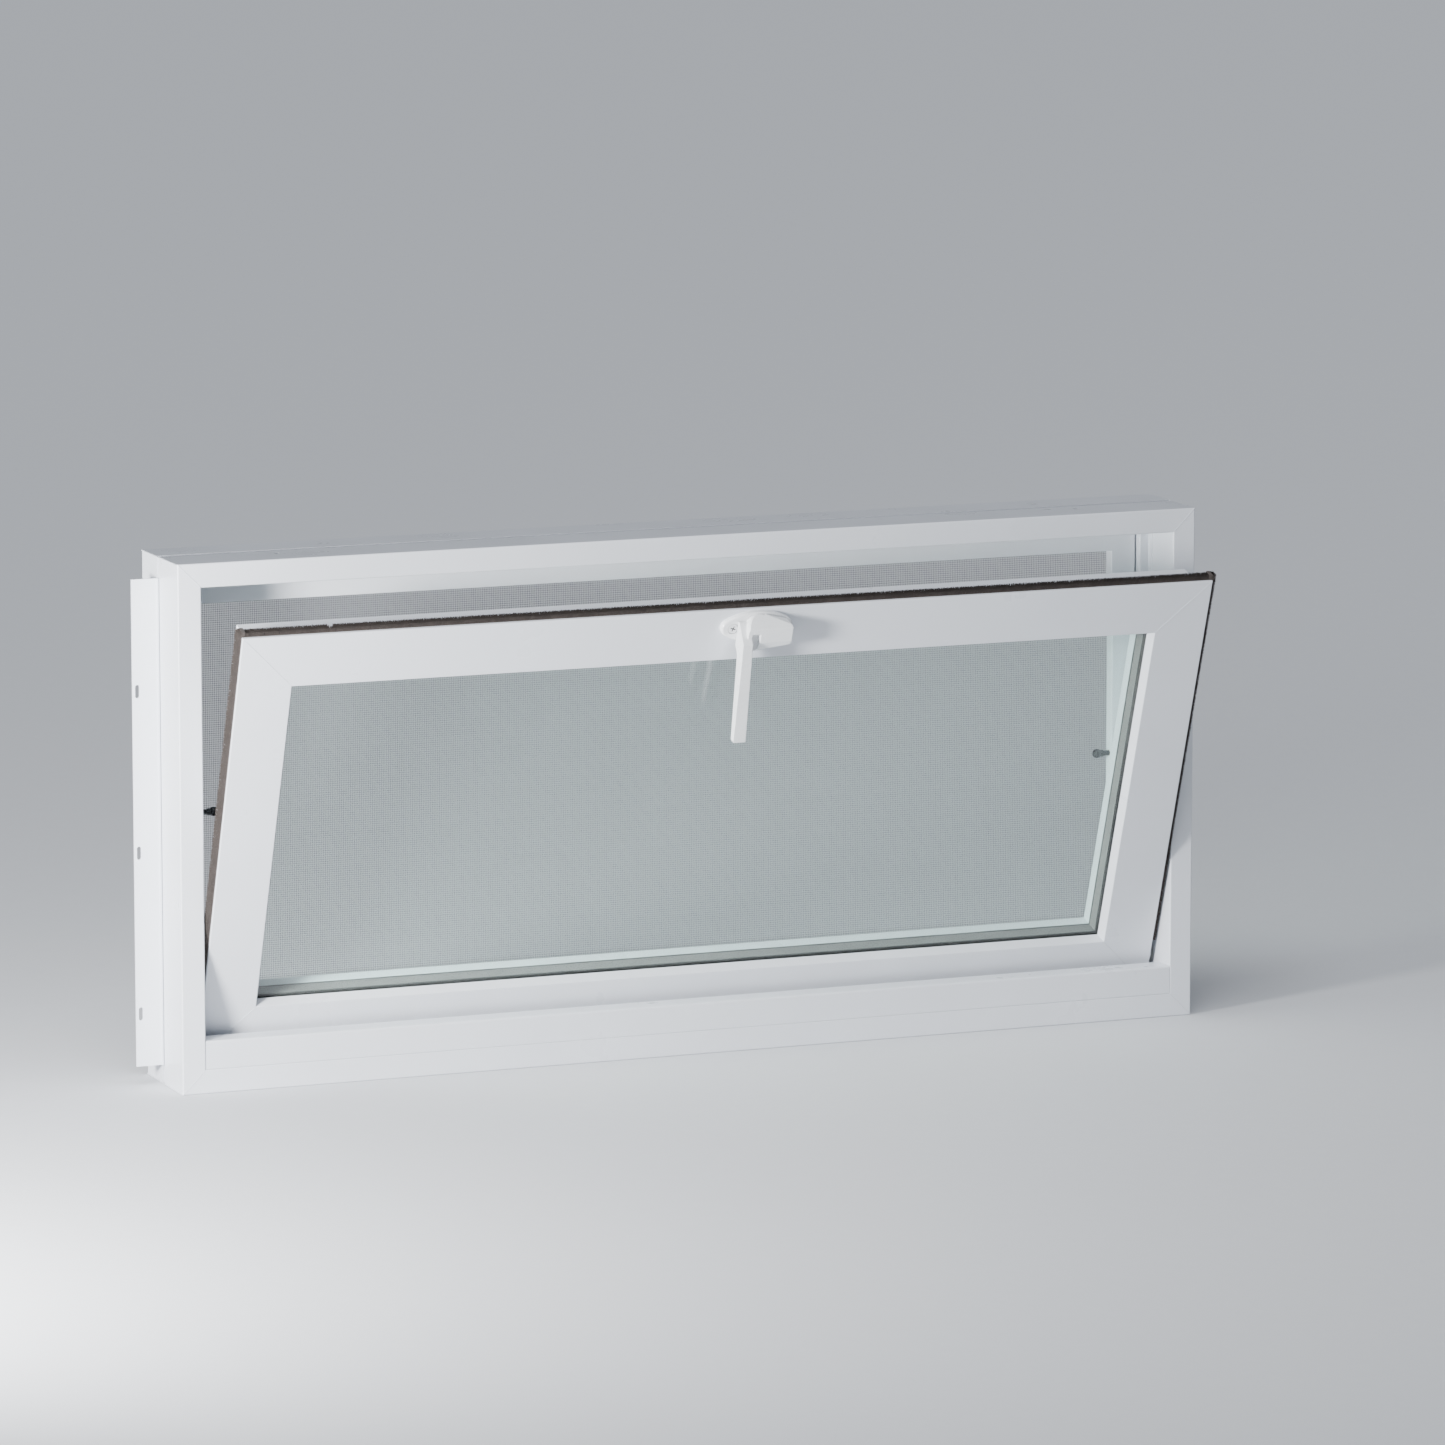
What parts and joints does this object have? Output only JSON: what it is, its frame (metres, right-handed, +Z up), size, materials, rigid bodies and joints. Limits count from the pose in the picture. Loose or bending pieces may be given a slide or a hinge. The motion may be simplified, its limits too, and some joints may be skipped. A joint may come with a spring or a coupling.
{
  "type": "hopper window",
  "caption": "White vinyl basement hopper window: inward-tilting double-glazed sash with cam latch, sill stop, side nailing fins and insect screen.",
  "frame": {"origin": "middle of the frame's underside, halfway across its width and depth", "axes": "+X to the right as seen from indoors, -Y towards the room, +Z up"},
  "size_m": [0.84, 0.1747, 0.387],
  "materials": {
    "pvc_white": "satin white PVC",
    "fin_pvc": "white PVC",
    "latch_white": "white enamel",
    "screw_white": "white enamel",
    "screen_bar": "white enamel",
    "screen_cloth": "woven fibreglass",
    "black_rubber": "matte",
    "dark_tape": "matte",
    "seal_grey": "matte",
    "pile": "woven pile",
    "glass": "clear float glass",
    "spacer": "matt",
    "steel": "bright zinc plate",
    "zinc": "die-cast",
    "brass": "plain",
    "nylon": "natural nylon",
    "black_plastic": "glossy black"
  },
  "bodies": {
    "frame": {"frame_head": "pvc_white", "frame_sill": "pvc_white", "frame_jamb_left": "pvc_white", "frame_jamb_right": "pvc_white", "sill_stop": "pvc_white", "side_fin_left": "fin_pvc", "side_fin_right": "fin_pvc", "latch_keeper": "steel", "keeper_screws": "steel", "pivot_bush_left": "nylon", "pivot_bush_right": "nylon", "screen_rail_top": "screen_bar", "screen_rail_bottom": "screen_bar", "screen_stile_left": "screen_bar", "screen_stile_right": "screen_bar", "screen_corner_keys": "nylon", "screen_mesh": "screen_cloth", "screen_spline": "black_rubber", "plunger_spring_left": "steel", "plunger_spring_right": "steel", "plunger_ferrule_left": "brass", "plunger_ferrule_right": "brass"},
    "sash": {"sash_rail_top": "pvc_white", "sash_rail_bottom": "pvc_white", "sash_stile_left": "pvc_white", "sash_stile_right": "pvc_white", "glass_inner": "glass", "glass_outer": "glass", "glass_spacer": "spacer", "glass_edge_seal": "black_rubber", "glazing_tape": "dark_tape", "glazing_bead_top": "pvc_white", "glazing_bead_bottom": "pvc_white", "glazing_bead_left": "pvc_white", "glazing_bead_right": "pvc_white", "setting_blocks": "nylon", "sash_pile_top": "pile", "sash_pile_left": "pile", "sash_pile_right": "pile", "rear_seal_top": "seal_grey", "rear_seal_left": "seal_grey", "rear_seal_right": "seal_grey", "pivot_pin_left": "zinc", "pivot_pin_right": "zinc", "latch_base": "latch_white", "latch_screws": "screw_white"},
    "latch": {"latch_handle": "latch_white", "latch_clip": "steel"},
    "plunger_left": {"screen_plunger_left": "black_plastic"},
    "plunger_right": {"screen_plunger_right": "black_plastic"}
  },
  "joints": [
    {"name": "sash_tilt", "type": "hinge", "parent": "frame", "child": "sash", "pos_m": [0, -0.00525, 0.0433], "axis": [1, 0, 0], "range_deg": [-19.3, 0]},
    {"name": "latch_turn", "type": "hinge", "parent": "sash", "child": "latch", "pos_m": [0.0145, -0.11652, 0.33078], "axis": [0, -0.9438, -0.3305], "range_deg": [0, 90]},
    {"name": "plunger_left_slide", "type": "slide", "parent": "frame", "child": "plunger_left", "axis": [1, 0, 0], "range_m": [0, 0.006], "stiffness_N_per_m": 300, "springref_m": -0.006, "deforming": ["plunger_spring_left"]},
    {"name": "plunger_right_slide", "type": "slide", "parent": "frame", "child": "plunger_right", "axis": [-1, 0, 0], "range_m": [0, 0.006], "stiffness_N_per_m": 300, "springref_m": -0.006, "deforming": ["plunger_spring_right"]}
  ]
}
